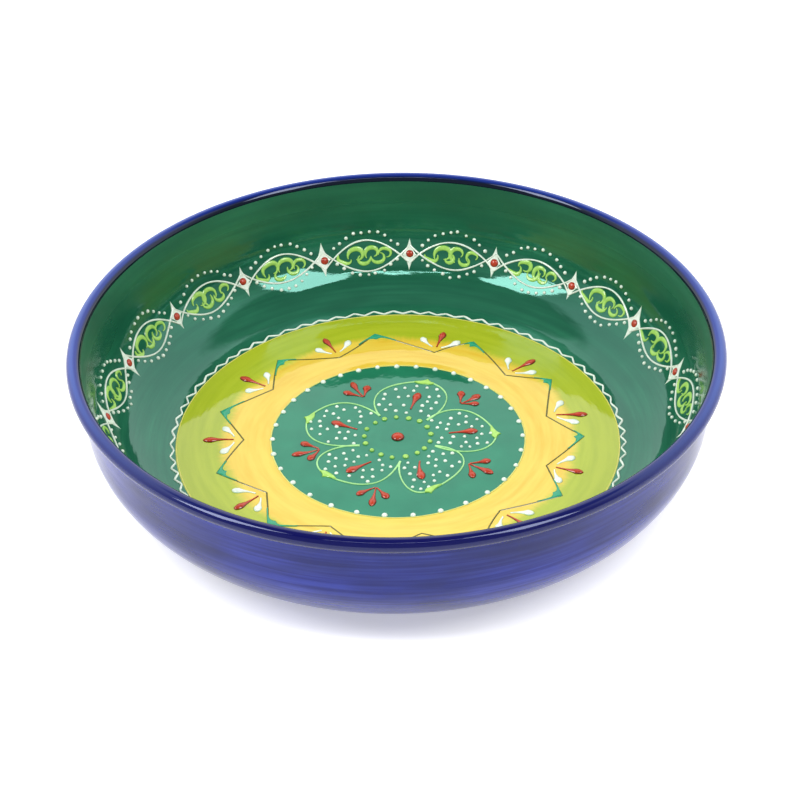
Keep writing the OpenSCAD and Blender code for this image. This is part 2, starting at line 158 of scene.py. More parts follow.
# %% Make a mesh piece of them
def piece(name, grid, finish, node, rise=None, crease=40):
    """One closed mesh at the origin, faces turned outwards by the sign of its volume
    (the sum of the triple products of its triangles)."""
    points, quads, tris = grid
    points = points * MM
    flat = np.concatenate([quads[:, [0, 1, 2]], quads[:, [0, 2, 3]], tris])
    a, b, c = (points[flat[:, i]] for i in range(3))
    if np.einsum("ij,ij->i", a, np.cross(b, c)).sum() < 0:
        quads, tris = quads[:, ::-1], tris[:, ::-1]
    corners = np.concatenate([quads.ravel(), tris.ravel()]).astype(np.int32)
    sizes = np.concatenate([np.full(len(quads), 4), np.full(len(tris), 3)])
    mesh = bpy.data.meshes.new(name)
    mesh.vertices.add(len(points))
    mesh.vertices.foreach_set("co", points.ravel())
    mesh.loops.add(len(corners))
    mesh.loops.foreach_set("vertex_index", corners)
    mesh.polygons.add(len(sizes))
    mesh.polygons.foreach_set("loop_start", (np.cumsum(sizes) - sizes).astype(np.int32))
    mesh.update(calc_edges=True)
    if rise is not None:
        level = np.zeros(len(points))
        level[:rise.size] = rise.ravel()
        layer = mesh.attributes.new("rise", "FLOAT", "POINT")
        layer.data.foreach_set("value", level.astype(np.float32))
    mesh.shade_smooth()
    mesh.set_sharp_from_angle(angle=radians(crease))
    mesh.materials.append(finish)
    thing = bpy.data.objects.new(name, mesh)
    bpy.context.scene.collection.objects.link(thing)
    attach(thing, "root")
    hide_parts(node)
    print(f"{name}: {len(flat)} triangles")
    return thing


# %% [markdown]
# ## Finishes
# Glaze is coloured glass melted on to clay. It is smooth and clear enough to mirror
# the room, it shows the brush that laid it because thin strokes are paler, and its
# skin is never quite flat. So each glaze here is one shader with a typical glass index
# of refraction, very low roughness, a brushed colour and a slow, shallow bump.

# %% One node helper, and sRGB to linear
def add(tree, kind, inputs=(), **settings):
    """Adds a node: settings are its properties, inputs pairs of socket and value or
    link."""
    node = tree.nodes.new(kind)
    for key, value in settings.items():
        setattr(node, key, value)
    for socket, value in inputs:
        if isinstance(value, bpy.types.NodeSocket):
            tree.links.new(value, node.inputs[socket])
        else:
            node.inputs[socket].default_value = value
    return node


def linear(code):
    """sRGB hex to linear: divide by 12.92 near black, else the 2.4 power curve."""
    part = np.array([int(code[i:i + 2], 16) for i in (1, 3, 5)]) / 255
    value = np.where(part <= 0.04045, part / 12.92, ((part + 0.055) / 1.055) ** 2.4)
    return (*value.tolist(), 1.0)


def finish_base(name, roughness, ior, tint="#ffffff"):
    """A new material with a glassy shader; returns it, its tree and the shader."""
    material = bpy.data.materials.new(name)
    material.use_nodes = True
    tree = material.node_tree
    tree.nodes.clear()
    shader = add(tree, "ShaderNodeBsdfPrincipled", [("Roughness", roughness), ("IOR", ior),
                                                    ("Specular Tint", linear(tint))])
    add(tree, "ShaderNodeOutputMaterial", [("Surface", shader.outputs[0])])
    return material, tree, shader


# %% Where a point lies on the turned surface
calm_radius = 40.0


def turned_place(tree, around, across):
    """Brush coordinates for a turned piece: the direction from the axis times around,
    and radius plus height times across, so marks run round the pot, with no seam. The
    direction fades to nothing near the axis, or marks would meet in spokes."""
    spot = add(tree, "ShaderNodeTexCoord").outputs["Object"]
    flat = add(tree, "ShaderNodeVectorMath", [(0, spot), (1, (1, 1, 0))], operation="MULTIPLY")
    radius = add(tree, "ShaderNodeVectorMath", [(0, flat.outputs[0])], operation="LENGTH")
    reach = add(tree, "ShaderNodeMath", [(0, radius.outputs["Value"]), (1, calm_radius * MM)],
                operation="MAXIMUM")
    share = add(tree, "ShaderNodeMath", [(0, around), (1, reach.outputs[0])],
                operation="DIVIDE")
    height = add(tree, "ShaderNodeSeparateXYZ", [(0, spot)]).outputs["Z"]
    walk = add(tree, "ShaderNodeMath", [(0, radius.outputs["Value"]), (1, height)],
               operation="ADD")
    wide = add(tree, "ShaderNodeVectorMath", [(0, flat.outputs[0]), ("Scale", share.outputs[0])],
               operation="SCALE")
    deep = add(tree, "ShaderNodeMath", [(0, walk.outputs[0]), (1, across / MM)],
               operation="MULTIPLY")
    lift = add(tree, "ShaderNodeCombineXYZ", [("Z", deep.outputs[0])])
    place = add(tree, "ShaderNodeVectorMath", [(0, wide.outputs[0]), (1, lift.outputs[0])],
                operation="ADD")
    return place.outputs[0], radius.outputs["Value"], height


def brushed(tree, place, detail, low, high):
    """Brush marks from 0 to 1: fractal noise stretched by its coordinates, with only
    the range low to high kept."""
    marks = add(tree, "ShaderNodeTexNoise", [("Vector", place), ("Scale", 1.0),
                                             ("Detail", detail), ("Roughness", 0.55)])
    keep = add(tree, "ShaderNodeMapRange", [("Value", marks.outputs["Fac"]),
                                            ("From Min", low), ("From Max", high)])
    return keep.outputs[0]


def blend(tree, amount, first, second):
    """Mix of two colours, or of a socket and a colour, by amount."""
    mix = add(tree, "ShaderNodeMix", [(0, amount), (6, first), (7, second)], data_type="RGBA")
    return mix.outputs[2]


def ripple(tree, shader, heights):
    """Bumps one after another: pairs of a 0 to 1 pattern and its depth in mm."""
    normal = None
    for pattern, depth in heights:
        bump = add(tree, "ShaderNodeBump", [("Height", pattern), ("Distance", depth * MM),
                                            ("Strength", 1.0)])
        if normal is not None:
            tree.links.new(normal, bump.inputs["Normal"])
        normal = bump.outputs[0]
    tree.links.new(normal, shader.inputs["Normal"])


# %% The glazes
dry_from, dry_to = 42.0, 60.0


def brushed_glaze(name, body, thin, thick, marks=(1.6, 0.30), ior=1.7, tint="#ffffff",
                  swell=0.20, top=0.05):
    """Glaze brushed round a turned piece: body colour, thin where the stroke ran dry
    and thick where it pooled; marks are strokes per radius and per millimetre. The
    skin swells slowly, and each stroke leaves a few microns. Glaze runs down a wall, so
    its roughness can rise to top between the heights dry_from and dry_to."""
    material, tree, shader = finish_base(name, 0.05, ior, tint)
    strokes, _, height = turned_place(tree, *marks)
    dry = add(tree, "ShaderNodeMapRange", [("Value", height), ("From Min", dry_from * MM),
                                           ("From Max", dry_to * MM), ("To Min", 0.05),
                                           ("To Max", top)])
    tree.links.new(dry.outputs[0], shader.inputs["Roughness"])
    slow, _, _ = turned_place(tree, 2.6, 0.045)
    uneven, _, _ = turned_place(tree, 9.0, 0.16)
    stroke = brushed(tree, strokes, 3.0, 0.36, 0.76)
    pool = brushed(tree, slow, 2.0, 0.30, 0.75)
    wave = brushed(tree, uneven, 2.0, 0.2, 0.8)
    colour = blend(tree, stroke, linear(body), linear(thin))
    colour = blend(tree, pool, colour, linear(thick))
    tree.links.new(colour, shader.inputs["Base Color"])
    ripple(tree, shader, [(pool, swell), (wave, 0.035), (stroke, 0.012)])
    return material


green_glaze = brushed_glaze("green_copper_glaze", "#1e5f46", "#2a7454", "#19533d",
                            tint="#b0fff0", top=0.4)
medallion_glaze = brushed_glaze("green_medallion_glaze", "#207251", "#247a57", "#1b6849",
                                marks=(0.8, 0.1), ior=1.75, tint="#a4fff2", swell=0.08)
blue_glaze = brushed_glaze("blue_cobalt_glaze", "#111b74", "#3442a4", "#080d40",
                           marks=(2.0, 0.50), ior=1.5, tint="#b4bcec")
pale_glaze = brushed_glaze("clear_underside_glaze", "#b3b5c4", "#bfc1cf", "#9fa2b6",
                           marks=(1.2, 0.2), ior=1.55)


# Painted shade: the rim's colour darkens towards -Y between these two values.
full_shade_y, plain_y = -145.0, -5.0
# The first two set the near-black lap over the green; the last centres the painted highlight along
# the crown of the roll.
lap_inner, lap_outer, highlight_radius = 144.0, 145.5, 147.6


def rim_cobalt():
    """Cobalt blue on the rolled rim: deep navy, with a painted highlight, a paler band along the
    crown of the roll, and painted shade that darkens it towards -Y, the side facing the dim near
    side of the room. It is almost black where it laps over the green at the inner edge."""
    material, tree, shader = finish_base("blue_rim_glaze", 0.05, 1.5, "#d4deff")
    strokes, radius, _ = turned_place(tree, 1.4, 0.35)
    stroke = brushed(tree, strokes, 3.0, 0.36, 0.76)
    spot = add(tree, "ShaderNodeTexCoord").outputs["Object"]
    near = add(tree, "ShaderNodeSeparateXYZ", [(0, spot)]).outputs["Y"]
    # Painted shade, darkest towards -Y, the side facing the dim near side of the room.
    painted_near_shade = add(tree, "ShaderNodeMapRange",
                  [("Value", near), ("From Min", full_shade_y * MM), ("From Max", plain_y * MM),
                   ("To Min", 1.0), ("To Max", 0.0)], interpolation_type="SMOOTHSTEP")
    lapped = add(tree, "ShaderNodeMapRange",
                 [("Value", radius), ("From Min", lap_inner * MM), ("From Max", lap_outer * MM),
                  ("To Min", 1.0), ("To Max", 0.0)], interpolation_type="SMOOTHSTEP")
    # Painted highlight: a paler band along the crown of the roll.
    off = add(tree, "ShaderNodeMath", [(0, radius), (1, highlight_radius * MM)], operation="SUBTRACT")
    off = add(tree, "ShaderNodeMath", [(0, off.outputs[0])], operation="ABSOLUTE")
    painted_highlight = add(tree, "ShaderNodeMapRange",
                [("Value", off.outputs[0]), ("From Min", 0.3 * MM), ("From Max", 1.9 * MM),
                 ("To Min", 1.0), ("To Max", 0.0)], interpolation_type="SMOOTHSTEP")
    colour = blend(tree, stroke, linear("#12257a"), linear("#1c3688"))
    # The paler blue on the crown is the painted highlight, and the navy towards -Y is the painted
    # shade.
    colour = blend(tree, painted_highlight.outputs[0], colour, linear("#38509c"))
    colour = blend(tree, painted_near_shade.outputs[0], colour, linear("#0a0b4c"))
    colour = blend(tree, lapped.outputs[0], colour, linear("#050c20"))
    tree.links.new(colour, shader.inputs["Base Color"])
    ripple(tree, shader, [(stroke, 0.012)])
    return material


rim_blue = rim_cobalt()


# %% [markdown]
# ### Yellow running into lime
# The lime ring is brushed over the edge of the yellow one while both are wet, so the
# border is a feathered ring of short strokes. One finish covers both bands: the
# colour follows the distance from the axis, pushed in and out by strokes about 1.5 mm
# wide that run outwards.

# %% The floor bands' finish
border_inner, border_outer, feather_depth, drift_depth = 81.5, 88.0, 1.6, 3.0


def band_glaze():
    """Yellow inside the border and lime outside; radial marks shift the border."""
    material, tree, shader = finish_base("yellow_and_lime_glaze", 0.05, 1.6)
    feather, radius, _ = turned_place(tree, 55.0, 0.03)
    around, _, _ = turned_place(tree, 2.4, 0.28)
    slow, _, _ = turned_place(tree, 3.0, 0.05)
    slow = brushed(tree, slow, 2.0, 0.3, 0.7)
    wander = add(tree, "ShaderNodeMath", [(0, brushed(tree, feather, 2.0, 0.3, 0.7)),
                                          (1, feather_depth * MM)], operation="MULTIPLY")
    drift = add(tree, "ShaderNodeMath", [(0, slow), (1, drift_depth * MM)], operation="MULTIPLY")
    moved = add(tree, "ShaderNodeMath", [(0, radius), (1, wander.outputs[0])],
                operation="ADD")
    moved = add(tree, "ShaderNodeMath", [(0, moved.outputs[0]), (1, drift.outputs[0])],
                operation="ADD")
    edge = add(tree, "ShaderNodeMapRange",
               [("Value", moved.outputs[0]), ("From Min", border_inner * MM),
                ("From Max", border_outer * MM)],
               interpolation_type="SMOOTHSTEP").outputs[0]
    stroke = brushed(tree, around, 3.0, 0.4, 0.75)
    yellow = blend(tree, stroke, linear("#e2c648"), linear("#dcb430"))
    lime = blend(tree, stroke, linear("#a9b826"), linear("#9aac1a"))
    tree.links.new(blend(tree, edge, yellow, lime), shader.inputs["Base Color"])
    ripple(tree, shader, [(slow, 0.10), (stroke, 0.012)])
    return material


bands = band_glaze()


# %% [markdown]
# ### Clay and slip
# Where the plate stands, the foot is wiped bare and shows fired clay. Slip is liquid clay piped
# through a nozzle: it stands up in a rounded bead and the covering glaze runs off its crest and
# gathers at its foot, so a slip line has a tinted edge. The edge colours here are also darker than
# that tint, as painted shade where the bead meets the surface.

# %% The clay and slip finishes
def bare_clay():
    """Fired earthenware: matt, fine-grained, with throwing rings."""
    material, tree, shader = finish_base("fired_earthenware", 0.85, 1.5)
    spot = add(tree, "ShaderNodeTexCoord").outputs["Object"]
    grain = add(tree, "ShaderNodeTexNoise", [("Vector", spot), ("Scale", 1 / (1.2 * MM)),
                                             ("Detail", 4.0)])
    rings, _, _ = turned_place(tree, 1.0, 0.8)
    ring = brushed(tree, rings, 2.0, 0.35, 0.7)
    colour = blend(tree, grain.outputs["Fac"], linear("#c9a381"), linear("#dcbd9c"))
    colour = blend(tree, ring, colour, linear("#c49a75"))
    tree.links.new(colour, shader.inputs["Base Color"])
    ripple(tree, shader, [(ring, 0.08), (grain.outputs["Fac"], 0.05)])
    return material


def slip(name, body, edge, roughness=0.12, reach=0.45, ior=1.5):
    """Raised slip under clear glaze: the edge colour at the foot, partly the tint of glaze gathered
    there and partly painted shade where the bead meets the surface, the body colour from a set
    share of its height upwards, with faint mottling a few mm across."""
    material, tree, shader = finish_base(name, roughness, ior)
    rise = add(tree, "ShaderNodeAttribute", attribute_name="rise")
    height = add(tree, "ShaderNodeMapRange", [("Value", rise.outputs["Fac"]),
                                              ("From Min", 0.0), ("From Max", reach)],
                 interpolation_type="SMOOTHSTEP")
    spot = add(tree, "ShaderNodeTexCoord").outputs["Object"]
    mottle = add(tree, "ShaderNodeTexNoise", [("Vector", spot), ("Scale", 1 / (2.5 * MM)),
                                              ("Detail", 3.0)])
    soft = add(tree, "ShaderNodeMapRange", [("Value", mottle.outputs["Fac"]),
                                            ("From Min", 0.45), ("From Max", 0.8),
                                            ("To Max", 0.35)])
    # Painted shade at the foot: the edge colour darkens the slip where it meets the glaze, together
    # with the tint of the glaze gathered there.
    colour = blend(tree, height.outputs[0], linear(edge), linear(body))
    colour = blend(tree, soft.outputs[0], colour, linear(edge))
    tree.links.new(colour, shader.inputs["Base Color"])
    ripple(tree, shader, [(mottle.outputs["Fac"], 0.05)])
    return material


clay_finish = bare_clay()
white_slip = slip("white_slip", "#e9f2e6", "#8fbfa2")
cream_slip = slip("cream_slip", "#d6d068", "#b4b044")
# Painted shadow: the red slip's near-black edge colour, reaching most of its height, outlines each
# red drop and bead as painted shade at its foot.
red_slip = slip("red_slip", "#bc4028", "#30100c", reach=0.9)
lime_slip = slip("lime_slip", "#a8d868", "#45903c", reach=0.7)
pale_lime_slip = slip("pale_lime_slip", "#b0e69a", "#5cab70")
olive_line = slip("olive_pigment_line", "#5c5a1e", "#5c5a1e", reach=0.2)
turquoise_pool = slip("turquoise_pool", "#1f9a72", "#147250", roughness=0.06)

# %% [markdown]
# ## The thrown body and its coats
# All of these are outlines spun about the axis. Each coat is a closed shell as thick
# as the glaze in the solid model, its outer face where the solid's is.

# %% Spin an outline about the axis
turns = np.linspace(0, 2 * np.pi, 420, endpoint=False)


def spun(outline, poles=False, around=turns):
    """Rings from a closed outline of (radius, height) pairs: each pair becomes a
    circle. With poles the outline starts and ends on the axis and is fanned shut."""
    radius, height = np.asarray(outline, float).T
    ring = np.stack(np.broadcast_arrays(radius[:, None] * np.cos(around),
                                        radius[:, None] * np.sin(around),
                                        height[:, None]), -1)
    return skin(ring[None], along=not poles, start=poles, end=poles)


def arc(centre, radius, start, stop, count):
    """Points on a circle from one angle to another, in degrees."""
    angle = np.radians(np.linspace(start, stop, count))
    return np.stack([centre[0] + radius * np.cos(angle), centre[1] + radius * np.sin(angle)], 1)


def inside_run(start, stop, lift, count):
    """The inside outline between two distances along it, raised by lift."""
    slope, radius, height = meridian(np.linspace(start, stop, count))
    return np.stack([radius - lift * np.sin(slope), height + lift * np.cos(slope)], 1)


def coat_on_floor(name, start, stop, finish, node):
    """A flat ring of glaze: along its top face and back underneath."""
    face = inside_run(start, stop, 0, 24)
    back = inside_run(stop, start, -coat, 12)
    return piece(name, spun(np.concatenate([face, back])), finish, node)


# %% Inside coats
medallion_radius, yellow_radius = 59.7, 82.0
piece("medallion_glaze_coat",
      spun(np.concatenate([inside_run(1.0, medallion_radius, 0, 40),
                           inside_run(medallion_radius, 1.0, -coat, 16)]), poles=True),
      medallion_glaze, "medallion_glaze")
coat_on_floor("yellow_glaze_coat", medallion_radius, yellow_radius, bands,
              "yellow_band_glaze")
coat_on_floor("lime_glaze_coat", yellow_radius, floor_radius, bands,
              "lime_band_glaze")
piece("green_wall_glaze_coat",
      spun(np.concatenate([inside_run(floor_radius, wall_end, 0, 64),
                           inside_run(wall_end, floor_radius, -coat, 64)])),
      green_glaze, "wall_glaze")

# %% Rim, outside and underside coats
seat_angle = 266.0
seat = arc(roll_centre, roll, seat_angle, seat_angle, 1)[0]
outside_up = np.array([np.sin(outside_lean), np.cos(outside_lean)])
outside_off = np.array([np.cos(outside_lean), -np.sin(outside_lean)])
outside_centre = np.array([0.0, base_low + outside_bend])
outside_centre[0] = seat[0] - (outside_bend + (seat[1] - outside_centre[1])
                               * outside_up[0]) / outside_off[0]
inner_angle = 180 - np.degrees(inside_lean)
piece("blue_rim_glaze_coat",
      spun(np.concatenate([arc(roll_centre, roll, inner_angle, seat_angle - 360, 40),
                           arc(roll_centre, roll - coat, seat_angle - 366, inner_angle, 30)])),
      rim_blue, "rim_glaze")


def outside_run(lift, count=50):
    """The outside outline from under the rim down the wall, round the bend and in
    along the flat underside to the foot ring."""
    wall_low = outside_centre + (outside_bend + lift) * outside_off
    wall_high = seat + lift * outside_off + under_rim * outside_up
    wall = np.linspace(wall_high, wall_low, count)
    bend = arc(outside_centre, outside_bend + lift, -np.degrees(outside_lean), -90, count)
    flat = np.array([[foot_outer, base_low - lift]])
    return np.concatenate([wall, bend[1:], flat])


foot_set_in, foot_width, under_rim = 9.0, 8.0, 0.3
foot_outer = outside_centre[0] - foot_set_in
foot_inner = foot_outer - foot_width
piece("blue_outside_glaze_coat",
      spun(np.concatenate([outside_run(0), outside_run(-coat)[::-1]])),
      blue_glaze, "outer_glaze")
piece("underside_glaze_coat",
      spun([[0.5, base_low], [foot_inner / 2, base_low], [foot_inner, base_low],
            [foot_inner, base_low + coat], [0.5, base_low + coat]], poles=True),
      pale_glaze, "base_glaze")

# %% The clay body
edge_round = 1.2
foot_section = np.concatenate([
    [[0.5, base_low + coat], [foot_inner, base_low + coat]],
    arc([foot_inner + edge_round, edge_round], edge_round, 180, 270, 6),
    arc([foot_outer - edge_round, edge_round], edge_round, 270, 360, 6),
    [[foot_outer, base_low + coat]]])
core = arc(roll_centre, roll - coat, seat_angle - 366, inner_angle, 30)
clay_outline = np.concatenate([foot_section, outside_run(-coat, 30)[::-1][1:-1], core,
                               inside_run(wall_end, 1.0, -coat, 60)])
piece("thrown_clay_body", spun(clay_outline, poles=True, around=turns[::2]), clay_finish,
      "clay_body")

# %% [markdown]
# ## Piped slip
# A nozzle drawn along a line leaves a raised bead of slip with a rounded back. Each
# trail here is set between two rails drawn flat: across the rails the points follow
# half a circle, so the back is round at any width. Drops are trails whose width
# swells, and beads are flattened balls.

# %% Trails between two rails
def trail(left, right, height, place=on_plan, loop=False, around=8, sink=0.12):
    """Points between two rails: across them by the cosine of an angle, up by its sine
    times the height, and a little below the glaze on the under side."""
    angle = np.linspace(0, 2 * np.pi, around, endpoint=False)
    share = (1 - np.cos(angle)) / 2
    height = np.broadcast_to(height, left.shape[:-1])[..., None]
    flat = left[..., None, :] + share[:, None] * (right - left)[..., None, :]
    up = np.sin(angle)
    lift = np.where(up > 0, up * height, up * sink)
    rise = np.broadcast_to(np.clip(up, 0, 1), lift.shape)
    return skin(place(flat, lift), along=loop, start=not loop, end=not loop), rise


def rails(path, width, loop=False):
    """Two rails half a width to either side of a path, square to its direction."""
    way = (np.roll(path, -1, -2) - np.roll(path, 1, -2)) if loop \
        else np.gradient(path, axis=-2)
    side = np.stack([-way[..., 1], way[..., 0]], -1)
    side = side / np.maximum(np.linalg.norm(side, axis=-1, keepdims=True), 1e-9)
    half = np.broadcast_to(width, path.shape[:-1])[..., None] / 2
    return path + half * side, path - half * side


def polar(radius, turn):
    """Flat drawing coordinates from a radius and an angle in degrees."""
    turn = np.radians(turn)
    return np.stack(np.broadcast_arrays(radius * np.cos(turn), radius * np.sin(turn)), -1)


def bezier(a, b, c, d, t):
    """Cubic curve from a to d pulled by b and c, by the Bernstein weights."""
    t = t[:, None]
    return (1 - t) ** 3 * a + 3 * t * (1 - t) ** 2 * b + 3 * t * t * (1 - t) * c + t ** 3 * d


# %% Drops and beads
def drops(start, heading, length, width, bend, steps=22):
    """Slip drops: a thin tail that swells into a round head. Half width grows by a
    power of the way along, then closes on a circle; bend curves the tail."""
    t = np.linspace(0, 1, steps)
    neck = 0.72
    swell = np.where(t < neck, 0.20 + 0.80 * (t / neck) ** 2.8,
                     np.sqrt(np.clip(1 - ((t - neck) / (1 - neck)) ** 2, 0.0004, 1)))
    heading, length, width, bend = (np.broadcast_to(v, len(start))[:, None]
                                    for v in (heading, length, width, bend))
    turn = np.radians(heading + bend * (1 - t) ** 2)
    step = length / (steps - 1) * np.stack([np.cos(turn), np.sin(turn)])
    path = np.asarray(start)[:, None] + np.moveaxis(np.cumsum(step, -1), 0, -1)
    left, right = rails(path, width * swell)
    return trail(left, right, 0.25 + 0.85 * swell, around=10)


def beads(s, turn, width, height, around=10, bands=6):
    """Flattened balls bedded in the glaze: unit balls stretched along the surface's
    two directions and its normal, the lower half nearly flat."""
    s, turn = np.asarray(s, float), np.asarray(turn, float)
    slope, _, _ = meridian(s)
    width, height = np.broadcast_to(width, s.shape), np.broadcast_to(height, s.shape)
    tilt = np.linspace(-0.5, 0.5, bands + 1)[1:-1] * np.pi
    angle = np.linspace(0, 2 * np.pi, around, endpoint=False)
    x = np.cos(tilt)[:, None] * np.cos(angle)
    y = np.cos(tilt)[:, None] * np.sin(angle)
    z = np.sin(tilt)[:, None] * np.ones(around)
    z = np.where(z > 0, z, 0.25 * z)
    out = np.stack([np.cos(slope) * np.cos(turn), np.cos(slope) * np.sin(turn), np.sin(slope)], -1)
    side = np.stack([-np.sin(turn), np.cos(turn), 0 * turn], -1)
    normal = np.stack([-np.sin(slope) * np.cos(turn), -np.sin(slope) * np.sin(turn),
                       np.cos(slope)], -1)
    shape = [v[:, None, None, :] for v in (out, side, normal)]
    half, tall = (v[:, None, None, None] for v in (width / 2, height))
    spots = on_inside(s, turn, 0)[:, None, None, :]
    points = spots + half * (x[..., None] * shape[0] + y[..., None] * shape[1]) \
        + tall * z[..., None] * shape[2]
    caps = spots[:, 0, 0] + (tall[:, 0, 0] * normal)
    rise = np.broadcast_to(np.clip(z, 0, 1), points.shape[:-1])
    verts, quads, tris = skin(points, start=True, end=True)
    verts[-len(s):] = caps
    rise = np.concatenate([rise.ravel(), np.zeros(len(s)), np.ones(len(s))])
    return (verts, quads, tris), rise


hand = np.random.default_rng(11)


def unsteady(count, amount):
    """A hand's small errors: seeded normal numbers, cut at two spreads."""
    return np.clip(hand.normal(0, 1, count), -2, 2) * amount


# %% [markdown]
# ## The floor: rings, zigzag and star
# The rings are drawn on a turning wheel, so they are even. The zigzag and the star are
# free hand.

# %% Rings and zigzag
def ring_line(name, radius, width, height, finish, node):
    """A closed trail at one distance from the axis."""
    turn = np.degrees(turns)
    wobble = 0.12 * np.sin(3 * turns + 1) + 0.08 * np.sin(7 * turns)
    grid, rise = trail(polar(radius + width / 2 + wobble, turn)[None],
                       polar(radius - width / 2 + wobble, turn)[None], height, loop=True)
    return piece(name, grid, finish, node, rise)


ring_line("cream_medallion_ring", 59.9, 0.75, 0.25, cream_slip,
          "medallion_edge_line")
ring_line("cream_band_ring", 104.0, 0.55, 0.22, cream_slip, "band_edge_line")

teeth, zigzag_radius = 72, 106.0
stations = np.linspace(0, 2 * np.pi, teeth * 12, endpoint=False)
phase = teeth * stations + 0.5 * np.sin(5 * stations + 0.6) + 0.35 * np.sin(13 * stations)
swing = 1.2 + 0.22 * np.sin(11 * stations + 2) + 0.15 * np.sin(23 * stations)
tooth = zigzag_radius + swing * 2 / np.pi * np.arcsin(0.97 * np.sin(phase))
thick = 1.05 + 0.12 * np.sin(17 * stations) + 0.12 * np.sin(2 * phase + 1)
left, right = rails(polar(tooth, np.degrees(stations))[None], thick, loop=True)
grid, rise = trail(left, right, 0.62, loop=True)
piece("white_zigzag_trail", grid, white_slip, "zigzag_trail", rise)

# %% Star line
tip_radius, corner_radius, tulip_radius = 87.5, 72.5, 76.5
tip_turns = np.array([97, 64, 31, -1, -32, -65, -98, -132, -163, -195, -228])
corner_turns = np.array([75, 43, 12, -19, -51, -82, -115, -146, -180, -214, -247])
star_points = np.stack([polar(tip_radius, tip_turns), polar(corner_radius, corner_turns)],
                       1).reshape(-1, 2)


def pulled_line(corners, steps=26, sag=0.5):
    """Straight pulls between corners, each bowed a little by a half sine."""
    nxt = np.roll(corners, -1, axis=0)
    t = np.linspace(0, 1, steps, endpoint=False)[:, None]
    run = nxt - corners
    across = np.stack([-run[:, 1], run[:, 0]], 1) / np.linalg.norm(run, axis=1)[:, None]
    bow = unsteady(len(corners), sag)[:, None, None] * np.sin(np.pi * t)
    path = corners[:, None] + t * run[:, None] + bow * across[:, None]
    return path.reshape(-1, 2)


path = pulled_line(star_points)
left, right = rails(path[None], 0.8, loop=True)
grid, rise = trail(left, right, 0.22, loop=True, around=6)
piece("olive_star_line", grid, olive_line, "star_line", rise)

# %% Green pools at the star's tips
t = np.linspace(0, 1, 30)


def tip_pools():
    """A chevron of green at each tip: it follows the star's line for a few millimetres
    to either side and fills the corner, widest at the tip itself."""
    lefts, rights = [], []
    for number in range(len(tip_turns)):
        before = star_points[2 * number - 1]
        tip, after = star_points[2 * number], star_points[(2 * number + 1) % len(star_points)]
        reach = 0.42 + unsteady(2, 0.1)
        bend = 1 - np.abs(2 * t - 1)
        toward = np.where((t < 0.5)[:, None], before, after)
        span = np.where(t < 0.5, reach[0], reach[1])[:, None] * (1 - bend[:, None])
        line = tip + span * (toward - tip)
        inward = -tip / np.linalg.norm(tip)
        depth = 0.45 + 4.6 * np.clip(bend, 0, 1)[:, None] ** 4
        lefts.append(line - 0.6 * inward)
        rights.append(line + depth * inward)
    return np.array(lefts), np.array(rights)


left, right = tip_pools()
grid, rise = trail(left, right, 0.4)
piece("turquoise_star_tips", grid, turquoise_pool, "star_tip_pools", rise)

# %% Tulips at the star's inner corners
count = len(corner_turns)
stem = polar(tulip_radius, corner_turns)
grid, rise = drops(stem, corner_turns + unsteady(count, 7), 14.5 + unsteady(count, 0.8),
                   3.7 + unsteady(count, 0.2), unsteady(count, 6))
piece("red_star_drops", grid, red_slip, "star_red_drops", rise)
sides = np.repeat([-1, 1], count)
turn_twice = np.tile(corner_turns, 2)
stem = polar(tulip_radius + 0.3, turn_twice + sides * 1.3)
grid, rise = drops(stem, turn_twice + sides * 42 + unsteady(2 * count, 6),
                   10.2 + unsteady(2 * count, 0.6), 3.8 + unsteady(2 * count, 0.25), sides * 22)
piece("white_star_drops", grid, white_slip, "star_white_drops", rise)

# %% [markdown]
# ## The flower on the medallion
# Five petals are outlined in one pull a side, from a shared foot to a tip where the
# slip is left in a blob. Each is filled with dots set at a comfortable spacing.

# %% Petal outlines and tips
petal_foot_radius = 19.0
petal_middles = np.array([79, 9.8, -55, 227.7, 157.4])
petal_tips = np.array([72, 2, -71, 220, 159])
tip_radii = np.array([47.5, 46.8, 43.8, 44.0, 45.8])
petal_feet = np.array([[116, 43], [43, -23], [-23, -87], [273, 199], [199, 116]])
steps = np.linspace(0, 1, 44)


def in_petal(middle, out, across):
    """A spot measured out along a petal's middle line and across it."""
    return polar(1.0, middle) * out + polar(1.0, middle + 90) * across


def petal_side(middle, foot_turn, tip, side):
    """One pull from foot to tip: it swings wide of the petal's middle line at once,
    rounds the shoulder, and comes back to the tip almost square to that line."""
    foot = polar(petal_foot_radius, foot_turn)
    return bezier(foot, in_petal(middle, 21.5, side * 16.5),
                  in_petal(middle, 40.5, side * 25.0), tip, steps)


tips = polar(tip_radii, petal_tips)
outlines = np.array([petal_side(middle, foot, tip, side)
                     for middle, tip, feet in zip(petal_middles, tips, petal_feet)
                     for foot, side in zip(feet, (1, -1))])
left, right = rails(outlines, 0.8 + 0.5 * np.exp(-steps * 14) + 0.1 * np.sin(9 * steps))
grid, rise = trail(left, right, 0.5)
piece("pale_lime_petal_outlines", grid, pale_lime_slip, "petal_outlines", rise)


def tip_blobs():
    """Slip left where two pulls meet: outside, it follows the last of both pulls and
    stands out to a point; inside, it is a shallow curve."""
    reach = np.linspace(-1, 1, 31)
    pulls = outlines[0::2], outlines[1::2]
    last = steps > 0.91
    ends = [np.array([np.interp(np.abs(reach), np.linspace(0, 1, last.sum()), line[last][::-1, k])
                      for line in pull for k in (0, 1)]).reshape(5, 2, -1).swapaxes(1, 2)
            for pull in pulls]
    outer = np.where((reach < 0)[:, None], ends[0], ends[1])
    away = (tips / tip_radii[:, None])[:, None]
    point = np.exp(-np.abs(reach) * 4)[:, None]
    fill = np.cos(np.pi / 2 * reach)[:, None]
    return outer + (0.4 + 1.8 * point) * away, outer - (0.4 + 2.3 * fill) * away


